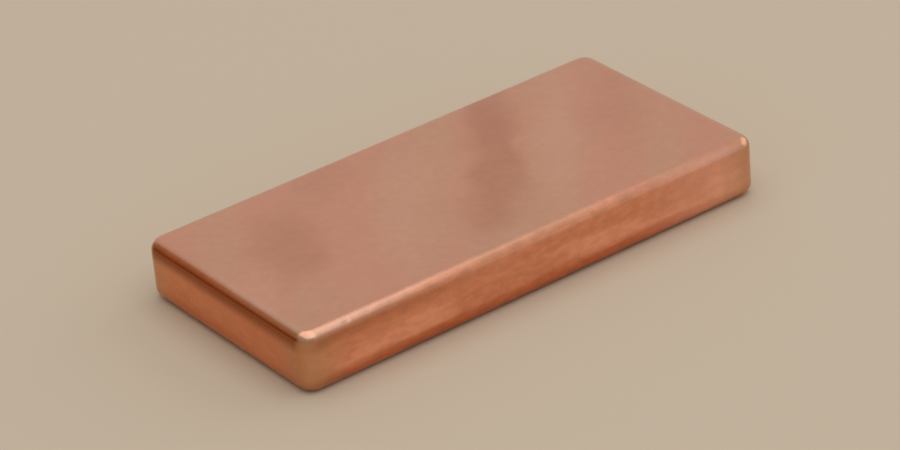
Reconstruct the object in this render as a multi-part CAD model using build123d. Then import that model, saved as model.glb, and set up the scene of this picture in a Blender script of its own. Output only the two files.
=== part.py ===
from build123d import *

import os

# A flat copper ingot: one rectangular slab with rounded corners and softened edges.
# Lengths are in millimetres. The origin is the centre of the face that the slab lies on,
# +X runs along its length, +Y along its width and +Z points up.

LENGTH = 126.0  # along X
WIDTH = 61.0  # along Y
THICKNESS = 14.7  # along Z, from the face it lies on to the face on top
CORNER_RADIUS = 4.0  # the four upright corners, seen from above
EDGE_RADIUS = 2.8  # all round the top and bottom faces, where they turn into the sides


def slab():
    """The outline seen from above, raised to the slab's thickness."""
    outline = RectangleRounded(LENGTH, WIDTH, CORNER_RADIUS)
    return extrude(outline, THICKNESS)


def soften(block):
    """The block with the rims of its bottom and top faces rounded."""
    levels = block.edges().group_by(Axis.Z)
    return fillet(levels[0] + levels[-1], EDGE_RADIUS)


ingot = soften(slab())

os.makedirs("parts", exist_ok=True)
export_step(ingot, "parts/ingot.step")
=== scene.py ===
import math
import random

import bpy
from bpy.props import FloatProperty, FloatVectorProperty, IntProperty, PointerProperty
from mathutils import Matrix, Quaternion, Vector


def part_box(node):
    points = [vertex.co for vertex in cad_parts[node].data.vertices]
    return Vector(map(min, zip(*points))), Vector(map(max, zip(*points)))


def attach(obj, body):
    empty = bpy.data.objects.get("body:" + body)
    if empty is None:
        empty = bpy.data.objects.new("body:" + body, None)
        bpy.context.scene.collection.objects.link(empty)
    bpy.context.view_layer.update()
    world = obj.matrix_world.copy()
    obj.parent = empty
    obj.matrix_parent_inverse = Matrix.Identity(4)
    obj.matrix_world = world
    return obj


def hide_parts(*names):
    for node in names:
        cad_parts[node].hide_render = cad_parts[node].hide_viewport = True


bl_info = {
    "name": "Copper ingot",
    "version": (1, 0, 0),
    "blender": (4, 5, 0),
    "location": "3D Viewport > Sidebar > Ingot",
    "description": "Models a flat copper ingot on its packed frame and sets it in a plain studio",
    "category": "Object",
}

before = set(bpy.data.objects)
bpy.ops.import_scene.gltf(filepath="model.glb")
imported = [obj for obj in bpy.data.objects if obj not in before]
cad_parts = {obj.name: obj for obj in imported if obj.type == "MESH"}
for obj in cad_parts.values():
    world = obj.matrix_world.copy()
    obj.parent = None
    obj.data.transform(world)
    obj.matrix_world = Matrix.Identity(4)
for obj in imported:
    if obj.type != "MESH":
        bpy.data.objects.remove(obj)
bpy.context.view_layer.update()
LOW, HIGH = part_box("ingot")
MIDDLE = (LOW + HIGH) / 2
SPAN = HIGH - LOW
MM = 0.001
X, Y, Z = 0, 1, 2

# Two points closer in height than this are level with each other.
SAME_LEVEL = 0.01 * MM

# A cut that passes closer than this to a point goes through the point.
CUT_REACH = 0.02 * MM

# How far in from the edges the rims reach, and how far along the sides the upright corners do.
RIM_REACH = 3.5 * MM
CORNER_REACH = 13 * MM

# The nicks in the rims: how deep and how wide they are, from least to most, how far towards the
# corners they come, how likely one is to be on a long side, and the seed that places them.
NICK_DEPTH = (0.03 * MM, 0.07 * MM)
NICK_WIDTH = (0.9 * MM, 2.0 * MM)
NICK_SPREAD = 0.9
NICK_ON_LONG_SIDE = 0.7
NICK_SEED = 7

# The direction in which the painted reflections on the broad faces run, as an angle from the
# length.
BAND_TURN = math.radians(53)

# Dark bands of painted reflection on the broad faces: the middle along X and Y, then how far
# each reaches along the bands and across them, and how strong it is.
REFLECTED_DARK_BANDS = (
    (-44 * MM, 3 * MM, 20 * MM, 10 * MM, 0.72),
    (16 * MM, 7 * MM, 40 * MM, 7 * MM, 0.98),
    (2 * MM, -13 * MM, 13 * MM, 10 * MM, 0.65),
    (50 * MM, 2 * MM, 30 * MM, 7 * MM, 0.28),
    (-20 * MM, 24 * MM, 14 * MM, 7 * MM, 0.30),
)

# Light bands of painted reflection on the broad faces, given in the same way.
REFLECTED_LIGHT_BANDS = (
    (-14 * MM, 0, 34 * MM, 7 * MM, 0.55),
    (33 * MM, 3 * MM, 34 * MM, 6 * MM, 0.70),
    (-58 * MM, -8 * MM, 22 * MM, 5 * MM, 0.40),
)

# The near left corner, round which the rims carry a painted highlight with some polish, how far
# along the rims that highlight reaches, and how far along the side the painted shade under them
# does.
NEAR_LEFT_CORNER = (LOW.x, LOW.y, HIGH.z)
SHEEN_AND_POLISH_REACH = 32 * MM
SHADE_REACH = 46 * MM

# The painted shade under the top rim, a soft dark line, fades in between these two heights.
LINE_START = HIGH.z - 5.4 * MM
LINE_FULL = HIGH.z - 2.2 * MM

# The lighter belt round the sides, a painted reflection, as shares of the thickness: it is full
# between the middle two and gone at the outer two.
BELT = (0.12, 0.34, 0.50, 0.72)

# The stretch of the length over which the sides turn pinker, towards the right.
PINKER_STRETCH = (22 * MM, 55 * MM)

# The directions of the hairlines, as angles from the length in radians.
HAIRLINE_TURNS = (0.15, 1.1, 2.4)

# How deep the relief in the copper is.
DENT_DEPTH = 0.03 * MM
ROLLED_DEPTH = 0.003 * MM
GRAIN_DEPTH = 0.003 * MM
HAIRLINE_DEPTH = 0.002 * MM

# Where the photograph was taken from, what the view is centred on and how far it leans, then the
# camera's sensor and lens in millimetres.
CAMERA_PLACE = Vector((-0.4195, -0.6008, 0.4164))
CAMERA_TARGET = Vector((0.0037, 0.0079, 0.0))
CAMERA_LEAN = math.radians(-5.12)
CAMERA_SENSOR = 36
CAMERA_LENS = 150

# The floor's side, and for each soft box its place, the point that it faces and its size.
FLOOR_SIDE = 8
CEILING_PLACE = Vector((-0.12, -0.4, 2.4))
CEILING_AIM = Vector((-0.12, -0.4, 0.0))
CEILING_SIZE = (2.9, 3.8)
KEY_PLACE = Vector((2.2, -0.35, 0.95))
KEY_AIM = Vector((0.0, 0.0, 0.0))
KEY_SIZE = (2.2, 1.5)

# The colour of the sky's light, and of the dim screen that stands behind, to the left.
SKY_TINT = (1.0, 0.98, 0.95)
SCREEN_TINT = (1.0, 0.58, 0.32)
SCREEN_WAY = Vector((-0.66, 0.72, 0.12)).normalized()


class IngotShape(bpy.types.PropertyGroup):
    """How the slab's corners, rims and small unevenness are modelled."""

    corner_radius: FloatProperty(
        name="Corner radius", description="Rounding of the upright corners, seen from above",
        default=4.0 * MM, min=0, unit="LENGTH")
    rim_radius: FloatProperty(
        name="Rim radius", description="Rounding where the broad faces turn into the sides",
        default=2.8 * MM, min=0, unit="LENGTH")
    cell: FloatProperty(
        name="Cell", description="Spacing of the cuts that let the surface be uneven",
        default=0.6 * MM, min=0.2 * MM, unit="LENGTH")
    sway: FloatProperty(
        name="Sway", description="How far the broad faces depart from dead flat",
        default=0.07 * MM, min=0, unit="LENGTH")
    rim_wear: FloatProperty(
        name="Rim wear", description="How far the rims are unevenly worn back",
        default=0.06 * MM, min=0, unit="LENGTH")
    nicks: IntProperty(
        name="Nicks", description="How many small knocks the rims have taken",
        default=8, min=0)


class IngotFinish(bpy.types.PropertyGroup):
    """The copper's colours, painted reflection, highlight and shade among them, and its polish."""

    broad_pink: FloatVectorProperty(
        name="Broad faces, pink", description="The pinker copper of the top and the underside",
        subtype="COLOR", size=3, default=(0.79, 0.370, 0.248))
    broad_tan: FloatVectorProperty(
        name="Broad faces, tan", description="The yellower copper of the top and the underside",
        subtype="COLOR", size=3, default=(0.76, 0.396, 0.254))
    # Painted reflection: the darker copper of the dark bands on the broad faces.
    broad_reflected_dark: FloatVectorProperty(
        name="Broad faces, dull", description="The duller copper of the marks left by wiping",
        subtype="COLOR", size=3, default=(0.66, 0.295, 0.185))
    # Painted reflection: the paler copper of the light bands on the broad faces.
    broad_reflected_light: FloatVectorProperty(
        name="Broad faces, bright", description="The paler copper of the bands polished by wiping",
        subtype="COLOR", size=3, default=(0.82, 0.425, 0.291))
    # Painted highlight, with some polish: the palest copper, on the rims near the near left corner.
    rim_polish_and_highlight: FloatVectorProperty(
        name="Rims, handled", description="The palest copper, on the rims polished by handling",
        subtype="COLOR", size=3, default=(0.84, 0.56, 0.42))
    # Painted shade: the deepest copper, in a soft line under the top rim.
    rim_painted_shade: FloatVectorProperty(
        name="Under the rims", description="The deepest copper, in a soft line under the top rim",
        subtype="COLOR", size=3, default=(0.30, 0.075, 0.018))
    # Painted reflection: the sides' copper, deeper and more orange than the broad faces'.
    flank_upper: FloatVectorProperty(
        name="Sides, upper", description="The copper of the sides below the top rim",
        subtype="COLOR", size=3, default=(0.81, 0.336, 0.196))
    # Painted reflection: the lighter streaks at half height on the sides.
    flank_painted_reflection: FloatVectorProperty(
        name="Sides, middle", description="The lighter streaks at half height on the sides",
        subtype="COLOR", size=3, default=(0.97, 0.442, 0.285))
    # Painted shade: the deep copper low on the sides.
    flank_painted_shade: FloatVectorProperty(
        name="Sides, lower", description="The deep copper low on the sides",
        subtype="COLOR", size=3, default=(0.60, 0.18, 0.073))
    flank_pale: FloatVectorProperty(
        name="Sides, pale", description="The pinker copper that the sides turn to at the right",
        subtype="COLOR", size=3, default=(1.0, 0.56, 0.45))
    # Painted shade: the darker copper of the two ends.
    end_painted_shade: FloatVectorProperty(
        name="Ends", description="The deeper copper of the two ends",
        subtype="COLOR", size=3, default=(0.74, 0.250, 0.090))
    # The duller tan copper on the upright corners.
    corner_tan: FloatVectorProperty(
        name="Corners", description="The duller copper that handling left on the upright corners",
        subtype="COLOR", size=3, default=(0.58, 0.317, 0.170))
    roughness: FloatProperty(
        name="Roughness", description="How much the satin surface blurs what it reflects",
        subtype="FACTOR", default=0.24, min=0, max=1)


class StudioLook(bpy.types.PropertyGroup):
    """The plain floor and the soft light."""

    floor_colour: FloatVectorProperty(
        name="Floor", description="Colour of the floor",
        subtype="COLOR", size=3, default=(0.66, 0.545, 0.415))
    sky_bright: FloatProperty(
        name="Sky, right", description="Brightness of the even light from the right",
        default=0.60, min=0)
    sky_left: FloatProperty(
        name="Sky, left", description="Brightness of the even light from the left",
        default=0.46, min=0)
    screen_level: FloatProperty(
        name="Screen", description="Brightness of the dim screen behind, to the left",
        default=0.32, min=0)
    ceiling_level: FloatProperty(
        name="Ceiling", description="Brightness of the large soft box overhead",
        default=0.66, min=0)
    key_level: FloatProperty(
        name="Key", description="Brightness of the soft box to the right",
        default=0.57, min=0)


def only(piece):
    """Leaves one object selected and active."""
    bpy.ops.object.select_all(action="DESELECT")
    piece.select_set(True)
    bpy.context.view_layer.objects.active = piece


def pick_edges(piece, wanted):
    """Goes into edit mode with just those edges selected whose two ends pass the test."""
    bpy.ops.object.mode_set(mode="EDIT")
    bpy.ops.mesh.select_mode(type="EDGE")
    bpy.ops.mesh.select_all(action="DESELECT")
    bpy.ops.object.mode_set(mode="OBJECT")
    points = piece.data.vertices
    for edge in piece.data.edges:
        start, end = (points[i].co for i in edge.vertices)
        edge.select = wanted(start, end)
    bpy.ops.object.mode_set(mode="EDIT")


def is_upright(start, end):
    """True for an edge that runs from the bottom face to the top face."""
    return abs(start.z - end.z) > SPAN.z / 2


def is_rim(start, end):
    """True for an edge of the outline of the bottom face or of the top face."""
    level = abs(start.z - end.z) < SAME_LEVEL
    outermost = min(abs(start.z - LOW.z), abs(start.z - HIGH.z)) < SAME_LEVEL
    return level and outermost


def cut_along(axis, spacing):
    """In edit mode, saws the mesh across an axis into slices about as thick as the spacing."""
    slices = round(SPAN[axis] / spacing)
    normal = [0.0, 0.0, 0.0]
    normal[axis] = 1.0
    for i in range(1, slices):
        place = list(LOW)
        place[axis] += SPAN[axis] * i / slices
        bpy.ops.mesh.select_all(action="SELECT")
        bpy.ops.mesh.bisect(plane_co=place, plane_no=normal, threshold=CUT_REACH)


def apply_all(piece):
    """Applies the piece's modifiers in order."""
    only(piece)
    for modifier in list(piece.modifiers):
        bpy.ops.object.modifier_apply(modifier=modifier.name)


def sink(piece, name, patch, depth, group=""):
    """Presses the surface in unevenly by up to a depth, in patches of a size, never outwards."""
    cloud = bpy.data.textures.new(name, "CLOUDS")
    cloud.noise_scale = patch
    dent = piece.modifiers.new(name, "DISPLACE")
    dent.texture = cloud
    dent.texture_coords = "LOCAL"
    dent.mid_level = 1.0
    dent.strength = depth
    dent.vertex_group = group


def fade(share):
    """1 at a share of 0, falling smoothly to 0 at a share of 1 and beyond."""
    rest = max(0.0, 1.0 - share)
    return rest * rest * (3 - 2 * rest)


def gaps_to_sides(point):
    """How far a point lies inside the block's nearer side along X, Y and Z."""
    return [min(point[i] - LOW[i], HIGH[i] - point[i]) for i in (X, Y, Z)]


def rim_nearness(point):
    """1 on the block's edges, falling to 0 some way in."""
    return fade(sorted(gaps_to_sides(point))[1] / RIM_REACH)


def corner_nearness(point):
    """1 on the upright corners, falling to 0 some way along the sides."""
    gaps = gaps_to_sides(point)
    return fade((gaps[X] + gaps[Y]) / CORNER_REACH)


def mark(piece, name, measure):
    """Keeps a measure of every point on the mesh, for the material to read."""
    values = [measure(vertex.co) for vertex in piece.data.vertices]
    piece.data.attributes.new(name, "FLOAT", "POINT").data.foreach_set("value", values)


def weigh(piece, name, measure):
    """Keeps a measure of every point as a vertex group, for the modifiers to read."""
    values = [measure(vertex.co) for vertex in piece.data.vertices]
    group = piece.vertex_groups.new(name=name)
    for i, value in enumerate(values):
        if value > 0:
            group.add([i], value, "REPLACE")


def slab_piece(shape):
    """The whole ingot as one closed mesh: rounded corners, soft rims and slight unevenness."""
    bpy.ops.object.select_all(action="DESELECT")
    bpy.ops.mesh.primitive_cube_add(size=1, location=MIDDLE, scale=SPAN)
    slab = bpy.context.object
    slab.name = slab.data.name = "copper_slab"
    bpy.ops.object.transform_apply(location=True, rotation=True, scale=True)

    pick_edges(slab, is_upright)
    bpy.ops.mesh.bevel(offset=shape.corner_radius, segments=12, profile=0.5, affect="EDGES")
    pick_edges(slab, is_rim)
    bpy.ops.mesh.bevel(offset=shape.rim_radius, segments=8, profile=0.5, affect="EDGES")
    for axis in (X, Y, Z):
        cut_along(axis, shape.cell)
    bpy.ops.object.mode_set(mode="OBJECT")

    weigh(slab, "rims", rim_nearness)
    mark(slab, "rim_shine", rim_nearness)
    mark(slab, "upright_corner", corner_nearness)
    sink(slab, "sway", patch=22 * MM, depth=shape.sway)
    sink(slab, "rim wear", patch=5 * MM, depth=shape.rim_wear, group="rims")
    apply_all(slab)
    knock_rims(slab, shape.nicks)
    only(slab)
    bpy.ops.object.shade_smooth()
    return slab


def knock_rims(slab, count):
    """Pushes small soft nicks into the rims, at places drawn once and for all."""
    draw = random.Random(NICK_SEED)
    half = SPAN / 2
    bpy.ops.object.mode_set(mode="EDIT")
    bpy.ops.mesh.select_mode(type="VERT")
    for _ in range(count):
        side = draw.choice((-1, 1))
        lift = draw.choice((-1, 1))
        along = draw.uniform(-NICK_SPREAD, NICK_SPREAD)
        if draw.random() < NICK_ON_LONG_SIDE:
            spot = MIDDLE + Vector((along * half.x, side * half.y, lift * half.z))
            push = Vector((0, -side, -lift)).normalized()
        else:
            spot = MIDDLE + Vector((side * half.x, along * half.y, lift * half.z))
            push = Vector((-side, 0, -lift)).normalized()
        bpy.ops.mesh.select_all(action="DESELECT")
        bpy.ops.object.mode_set(mode="OBJECT")
        nearest = min(slab.data.vertices, key=lambda vertex: (vertex.co - spot).length)
        nearest.select = True
        bpy.ops.object.mode_set(mode="EDIT")
        bpy.ops.transform.translate(
            value=push * draw.uniform(*NICK_DEPTH), use_proportional_edit=True,
            proportional_edit_falloff="SMOOTH", proportional_size=draw.uniform(*NICK_WIDTH))
    bpy.ops.object.mode_set(mode="OBJECT")


class MODEL_OT_ingot(bpy.types.Operator):
    """Models the ingot's slab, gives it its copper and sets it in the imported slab's place"""

    bl_idname = "ingot.model"
    bl_label = "Model ingot"

    def execute(self, context):
        slab = slab_piece(context.scene.ingot_shape)
        slab.data.materials.append(copper(context.scene.ingot_finish))
        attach(slab, "root")
        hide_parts("ingot")
        return {"FINISHED"}


class Nodes:
    """Builds a node tree: each call adds a node, sets it up and feeds its inputs."""

    def __init__(self, tree):
        self.tree = tree

    def add(self, kind, inputs=None, **settings):
        """Adds a node, and links or sets its inputs."""
        node = self.tree.nodes.new(kind)
        for name, value in settings.items():
            setattr(node, name, value)
        for socket, value in (inputs or {}).items():
            self.feed(node.inputs[socket], value)
        return node

    def feed(self, socket, value):
        """Links an input to what another node gives, or sets it to a plain value."""
        if isinstance(value, bpy.types.NodeSocket):
            self.tree.links.new(value, socket)
        else:
            socket.default_value = value

    def ramp(self, value, start, end, low=0.0, high=1.0):
        """A value that goes smoothly from low to high as its source goes from start to end."""
        inputs = {"Value": value, 1: start, 2: end, 3: low, 4: high}
        return self.add("ShaderNodeMapRange", inputs, interpolation_type="SMOOTHSTEP").outputs[0]

    def mix(self, share, first, second, blend="MIX"):
        """A colour between two, or the first changed by the second in another way of blending."""
        inputs = {0: share, 6: first, 7: second}
        return self.add("ShaderNodeMix", inputs, data_type="RGBA", blend_type=blend).outputs[2]

    def shade(self, colour, value):
        """A colour made darker or lighter by a value."""
        grey = self.add("ShaderNodeCombineColor", {i: value for i in range(3)}).outputs[0]
        return self.mix(1.0, colour, grey, "MULTIPLY")

    def mix_value(self, share, first, second):
        """A value between two."""
        return self.add("ShaderNodeMix", {0: share, 2: first, 3: second}).outputs[0]

    def math(self, operation, first, second=0.0):
        """What a sum or another operation makes of one value or two."""
        return self.add("ShaderNodeMath", {0: first, 1: second}, operation=operation).outputs[0]

    def patches(self, place, size, turn=0.0, detail=2.0, seed=(0, 0, 0)):
        """Soft random patches of a size along X, Y and Z, turned about Z."""
        inputs = {"Vector": place, "Location": seed, "Rotation": (0, 0, turn), "Scale": size}
        laid = self.add("ShaderNodeMapping", inputs, vector_type="TEXTURE").outputs[0]
        noise = self.add("ShaderNodeTexNoise", {"Vector": laid, "Scale": 1.0, "Detail": detail})
        return noise.outputs["Fac"]

    def astray(self, place, reach, patch):
        """Places pushed about a little, so that what is laid on them has uneven edges."""
        noise = self.add("ShaderNodeTexNoise", {"Vector": place, "Scale": 1 / patch, "Detail": 1.0})
        centred = self.add("ShaderNodeVectorMath", {
            0: noise.outputs["Color"], 1: (0.5, 0.5, 0.5)}, operation="SUBTRACT").outputs[0]
        return self.add("ShaderNodeVectorMath", {
            0: centred, 1: (2 * reach, 2 * reach, 2 * reach), 2: place},
            operation="MULTIPLY_ADD").outputs[0]

    def mark(self, place, middle, reach, turn=0.0):
        """1 in the middle of a soft oval, falling smoothly to 0 outside it."""
        inputs = {"Vector": place, "Location": middle, "Rotation": (0, 0, turn), "Scale": reach}
        laid = self.add("ShaderNodeMapping", inputs, vector_type="TEXTURE").outputs[0]
        distance = self.add("ShaderNodeVectorMath", {0: laid}, operation="LENGTH").outputs["Value"]
        return self.ramp(distance, 1.3, 0.3)

    def marked(self, name):
        """What the mesh says at each point under a name."""
        return self.add("ShaderNodeAttribute", attribute_name=name).outputs["Fac"]


class SlabNodes(Nodes):
    """A node tree that knows where on the slab each spot of its copper lies.

    along and height are the spot's places along the length and above the floor. endwise is 1
    where the surface faces an end, and flatness where it faces up or down. rim and corner are
    1 on the edges and on the upright corners.
    """

    def __init__(self, tree):
        super().__init__(tree)
        coordinates = self.add("ShaderNodeTexCoord")
        self.spot = coordinates.outputs["Object"]
        apart = self.add("ShaderNodeSeparateXYZ", {0: self.spot})
        self.along = apart.outputs["X"]
        self.height = apart.outputs["Z"]
        facing = self.add("ShaderNodeSeparateXYZ", {0: coordinates.outputs["Normal"]})
        self.endwise = self.math("ABSOLUTE", facing.outputs["X"])
        self.flatness = self.math("ABSOLUTE", facing.outputs["Z"])
        self.rim = self.marked("rim_shine")
        self.corner = self.marked("upright_corner")

    def near(self, place, reach):
        """1 around a place on the slab, falling smoothly to 0 about a reach away."""
        return self.mark(self.spot, place, (reach, reach, reach))


def rgba(colour):
    """A colour with the full cover that a node's colour input asks for."""
    return (*colour, 1.0)


def broad_colour(nodes, finish):
    """Broad faces: pink and tan clouds, part tarnish and part painted reflection, and painted
    reflected bands.
    """
    # The clouds are partly tarnish and partly painted reflection, drawn out along the bands.
    clouds = nodes.patches(
        nodes.spot, size=(60 * MM, 17 * MM, 20 * MM), turn=BAND_TURN, seed=(0.4, 0.1, 0.2))
    pinker = nodes.ramp(clouds, 0.35, 0.65)
    colour = nodes.mix(pinker, rgba(finish.broad_tan), rgba(finish.broad_pink))
    uneven = nodes.astray(nodes.spot, reach=5 * MM, patch=12 * MM)
    # Painted reflection: dark and light bands laid across the broad faces.
    for marks, tint in ((REFLECTED_DARK_BANDS, finish.broad_reflected_dark), (REFLECTED_LIGHT_BANDS, finish.broad_reflected_light)):
        for x, y, along, across, strength in marks:
            band = nodes.mark(uneven, (x, y, 0), (along, across, 1.0), BAND_TURN)
            colour = nodes.mix(nodes.math("MULTIPLY", band, strength), colour, rgba(tint))
    return colour


def side_colour(nodes, finish):
    """Sides: a lighter, patchy streaky belt at mid height, deep orange below: painted reflection
    and shade.
    """
    streaks = nodes.patches(
        nodes.spot, size=(45 * MM, 45 * MM, 4 * MM), detail=3.0, seed=(0.2, 0.5, 0.9))
    height = nodes.math("ADD", nodes.height, nodes.ramp(streaks, 0.3, 0.7, -1.2 * MM, 1.2 * MM))
    gone_below, full_below, full_above, gone_above = (SPAN.z * share for share in BELT)
    above = nodes.ramp(height, full_above, gone_above)
    below = nodes.ramp(height, full_below, gone_below)
    gaps = nodes.patches(
        nodes.spot, size=(22 * MM, 22 * MM, 9 * MM), detail=2.0, seed=(0.1, 0.8, 0.3))
    missing = nodes.ramp(gaps, 0.42, 0.62)
    colour = nodes.mix(missing, rgba(finish.flank_painted_reflection), rgba(finish.flank_upper))
    colour = nodes.mix(above, colour, rgba(finish.flank_upper))
    # Painted shade low on the sides.
    colour = nodes.mix(nodes.math("MULTIPLY", below, 0.85), colour, rgba(finish.flank_painted_shade))

    speckle = nodes.patches(
        nodes.spot, size=(3 * MM, 3 * MM, 1.3 * MM), detail=3.0, seed=(0.7, 0.2, 0.5))
    colour = nodes.shade(colour, nodes.ramp(speckle, 0.30, 0.70, 0.92, 1.08))
    rightward = nodes.ramp(nodes.along, *PINKER_STRETCH, 0.0, 0.45)
    colour = nodes.mix(rightward, colour, rgba(finish.flank_pale))
    # Painted shade on the two ends.
    at_end = nodes.ramp(nodes.endwise, 0.6, 0.95, 0.0, 0.7)
    colour = nodes.mix(at_end, colour, rgba(finish.end_painted_shade))
    return nodes.mix(nodes.math("MULTIPLY", nodes.corner, 0.8), colour, rgba(finish.corner_tan))


def paint_rim_sheen_and_polish(nodes, base, finish):
    """The rims palest on their flatter half near the corner: a painted highlight, with some polish.
    """
    # Painted highlight, with some polish, on the rims round the near left corner.
    polish_and_sheen = nodes.near(NEAR_LEFT_CORNER, SHEEN_AND_POLISH_REACH)
    polish_and_sheen = nodes.math("MULTIPLY", polish_and_sheen, nodes.ramp(nodes.flatness, 0.30, 0.75, 0.0, 0.60))
    return nodes.mix(nodes.math("MULTIPLY", nodes.rim, polish_and_sheen), base, rgba(finish.rim_polish_and_highlight))


def paint_shade_under_rim(nodes, base, finish):
    """The colour with painted shade: a soft dark line under the top rim, at that corner and at both
    ends.
    """
    # Painted shade under the top rim, round the near left corner and along both ends.
    at_corner = nodes.math("MULTIPLY", nodes.near(NEAR_LEFT_CORNER, SHADE_REACH), 0.42)
    at_end = nodes.ramp(nodes.endwise, 0.35, 0.80, 0.0, 0.88)
    line = nodes.math("MAXIMUM", at_corner, at_end)
    line = nodes.math("MULTIPLY", line, nodes.ramp(nodes.flatness, 0.75, 0.40))
    line = nodes.math("MULTIPLY", line, nodes.ramp(nodes.height, LINE_START, LINE_FULL))
    line = nodes.math("MULTIPLY", line, nodes.ramp(nodes.corner, 0.96, 0.75))
    return nodes.mix(line, base, rgba(finish.rim_painted_shade))


def drawn_hairlines(nodes):
    """Hairlines from handling, a few in each of three directions, and none on the rims."""
    hairlines = 0.0
    for turn in HAIRLINE_TURNS:
        drawn = nodes.patches(nodes.spot, size=(28 * MM, 0.4 * MM, 8 * MM), turn=turn, detail=0.0)
        hairlines = nodes.math("ADD", nodes.ramp(drawn, 0.70, 0.80), hairlines)
    return nodes.mix_value(nodes.rim, hairlines, 0.0)


def satin(nodes, hairlines, roughness):
    """The roughness: uneven with smudges, a little higher on hairlines and lower on the rims."""
    smudges = nodes.patches(
        nodes.spot, size=(26 * MM, 18 * MM, 10 * MM), turn=0.5, detail=4.0, seed=(0.3, 0.6, 0.4))
    rough = nodes.ramp(smudges, 0.3, 0.7, roughness - 0.04, roughness + 0.05)
    rough = nodes.math("ADD", rough, nodes.math("MULTIPLY", nodes.rim, -0.02))
    return nodes.math("ADD", rough, nodes.math("MULTIPLY", hairlines, 0.04))


def relief(nodes, hairlines):
    """The relief: shallow dents, faint lines along the length from rolling, grain and hairlines."""
    dents = nodes.patches(
        nodes.spot, size=(4 * MM, 4 * MM, 4 * MM), detail=1.0, seed=(0.5, 0.4, 0.1))
    rolled = nodes.patches(nodes.spot, size=(40 * MM, 0.5 * MM, 0.5 * MM), detail=2.0)
    grain = nodes.patches(nodes.spot, size=(0.5 * MM, 0.5 * MM, 0.5 * MM), detail=2.0)
    layers = (
        (dents, DENT_DEPTH), (rolled, ROLLED_DEPTH), (grain, GRAIN_DEPTH),
        (hairlines, -HAIRLINE_DEPTH))
    below = {}
    for height, depth in layers:
        inputs = {"Strength": 1.0, "Distance": depth, "Height": height, **below}
        below = {"Normal": nodes.add("ShaderNodeBump", inputs).outputs[0]}
    return below["Normal"]


def copper(finish):
    """Satin copper: clouded broad faces, deeper streaky sides, duller corners, worn rims; painted
    reflection, highlight, shade.
    """
    material = bpy.data.materials.new("satin copper")
    material.use_nodes = True
    nodes = SlabNodes(material.node_tree)
    shader = material.node_tree.nodes["Principled BSDF"]
    shader.inputs["Metallic"].default_value = 1.0

    # The sides take a deeper, more orange copy of the copper than the broad faces: painted
    # reflection.
    on_side = nodes.ramp(nodes.flatness, 0.97, 0.60)
    base = nodes.mix(on_side, broad_colour(nodes, finish), side_colour(nodes, finish))
    base = paint_rim_sheen_and_polish(nodes, base, finish)
    base = paint_shade_under_rim(nodes, base, finish)
    mottling = nodes.patches(nodes.spot, size=(2.5 * MM, 2.5 * MM, 2.5 * MM), detail=3.0)
    base = nodes.shade(base, nodes.ramp(mottling, 0.25, 0.75, 0.975, 1.025))
    nodes.feed(shader.inputs["Base Color"], base)

    hairlines = drawn_hairlines(nodes)
    nodes.feed(shader.inputs["Roughness"], satin(nodes, hairlines, finish.roughness))
    nodes.feed(shader.inputs["Normal"], relief(nodes, hairlines))
    return material


def floor_paint(colour):
    """A plain matt paint."""
    material = bpy.data.materials.new("pale floor")
    material.use_nodes = True
    shader = material.node_tree.nodes["Principled BSDF"]
    shader.inputs["Base Color"].default_value = rgba(colour)
    shader.inputs["Roughness"].default_value = 0.9
    return material


def soft_box(name, place, aim, size, level):
    """A rectangular lamp, as bright as the level all over, that faces a point."""
    light = bpy.data.lights.new(name, "AREA")
    light.shape = "RECTANGLE"
    light.size, light.size_y = size
    light.energy = level * math.pi * size[0] * size[1]
    lamp = bpy.data.objects.new(name, light)
    lamp.location = place
    lamp.rotation_euler = (aim - place).to_track_quat("-Z", "Y").to_euler()
    bpy.context.collection.objects.link(lamp)


def sky(look):
    """Even pale light all round, and a dim warm screen that copper mirrors but no camera sees."""
    world = bpy.data.worlds.new("studio")
    world.use_nodes = True
    nodes = Nodes(world.node_tree)
    background = world.node_tree.nodes["Background"]
    way = nodes.add("ShaderNodeTexCoord").outputs["Generated"]
    rightward = nodes.add("ShaderNodeSeparateXYZ", {0: way}).outputs["X"]
    level = nodes.ramp(rightward, -0.35, 0.30, look.sky_left, look.sky_bright)
    towards_screen = nodes.add(
        "ShaderNodeVectorMath", {0: way, 1: SCREEN_WAY}, operation="DOT_PRODUCT").outputs["Value"]
    camera_sees = nodes.add("ShaderNodeLightPath").outputs["Is Camera Ray"]
    unseen = nodes.math("SUBTRACT", 1.0, camera_sees)
    screen = nodes.math("MULTIPLY", nodes.ramp(towards_screen, 0.72, 0.95), unseen)
    colour = nodes.mix(screen, rgba(SKY_TINT), rgba(SCREEN_TINT))
    nodes.feed(background.inputs["Color"], colour)
    nodes.feed(background.inputs["Strength"], nodes.mix_value(screen, level, look.screen_level))
    return world


def floor_piece(colour):
    """The level floor that the ingot lies on."""
    bpy.ops.object.select_all(action="DESELECT")
    bpy.ops.mesh.primitive_plane_add(size=FLOOR_SIDE, location=(0, 0, LOW.z))
    floor = bpy.context.object
    floor.name = "floor"
    floor.data.materials.append(floor_paint(colour))
    return floor


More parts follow.
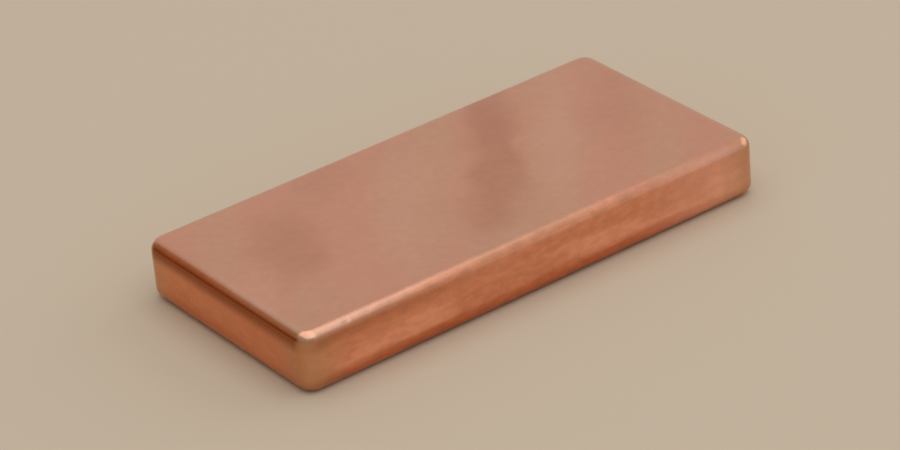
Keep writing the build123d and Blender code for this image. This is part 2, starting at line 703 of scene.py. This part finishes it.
def photographs_camera():
    """The camera, at the photograph's angle and with its lean."""
    camera = bpy.data.objects.new("camera", bpy.data.cameras.new("camera"))
    camera.location = CAMERA_PLACE
    aim = (CAMERA_TARGET - CAMERA_PLACE).to_track_quat("-Z", "Y")
    camera.rotation_mode = "QUATERNION"
    camera.rotation_quaternion = aim @ Quaternion((0, 0, 1), CAMERA_LEAN)
    camera.data.sensor_width = CAMERA_SENSOR
    camera.data.lens = CAMERA_LENS
    bpy.context.collection.objects.link(camera)
    return camera


class MODEL_OT_studio(bpy.types.Operator):
    """Lays the pale floor, hangs the soft lights and stands the camera at the photograph's angle"""

    bl_idname = "ingot.studio"
    bl_label = "Set studio"

    def execute(self, context):
        look = context.scene.studio_look
        floor = floor_piece(look.floor_colour)
        soft_box("ceiling", CEILING_PLACE, CEILING_AIM, CEILING_SIZE, look.ceiling_level)
        soft_box("key", KEY_PLACE, KEY_AIM, KEY_SIZE, look.key_level)
        context.scene.world = sky(look)
        camera = photographs_camera()
        context.scene.camera = camera
        context.scene.view_settings.view_transform = "Standard"
        return {"FINISHED"}


class MODEL_PT_ingot(bpy.types.Panel):
    """Lists the steps and the sizes in the sidebar"""

    bl_label = "Copper ingot"
    bl_space_type = "VIEW_3D"
    bl_region_type = "UI"
    bl_category = "Ingot"

    def draw(self, context):
        for group, step in (("ingot_shape", MODEL_OT_ingot), ("ingot_finish", None),
                            ("studio_look", MODEL_OT_studio)):
            settings = getattr(context.scene, group)
            box = self.layout.box()
            for name in settings.__annotations__:
                box.prop(settings, name)
            if step:
                box.operator(step.bl_idname)


CLASSES = (IngotShape, IngotFinish, StudioLook, MODEL_OT_ingot, MODEL_OT_studio, MODEL_PT_ingot)


def register():
    for kind in CLASSES:
        bpy.utils.register_class(kind)
    bpy.types.Scene.ingot_shape = PointerProperty(type=IngotShape)
    bpy.types.Scene.ingot_finish = PointerProperty(type=IngotFinish)
    bpy.types.Scene.studio_look = PointerProperty(type=StudioLook)


def unregister():
    del bpy.types.Scene.ingot_shape
    del bpy.types.Scene.ingot_finish
    del bpy.types.Scene.studio_look
    for kind in reversed(CLASSES):
        bpy.utils.unregister_class(kind)


def main():
    register()
    bpy.ops.ingot.model()
    bpy.ops.ingot.studio()


if __name__ == "__main__":
    main()
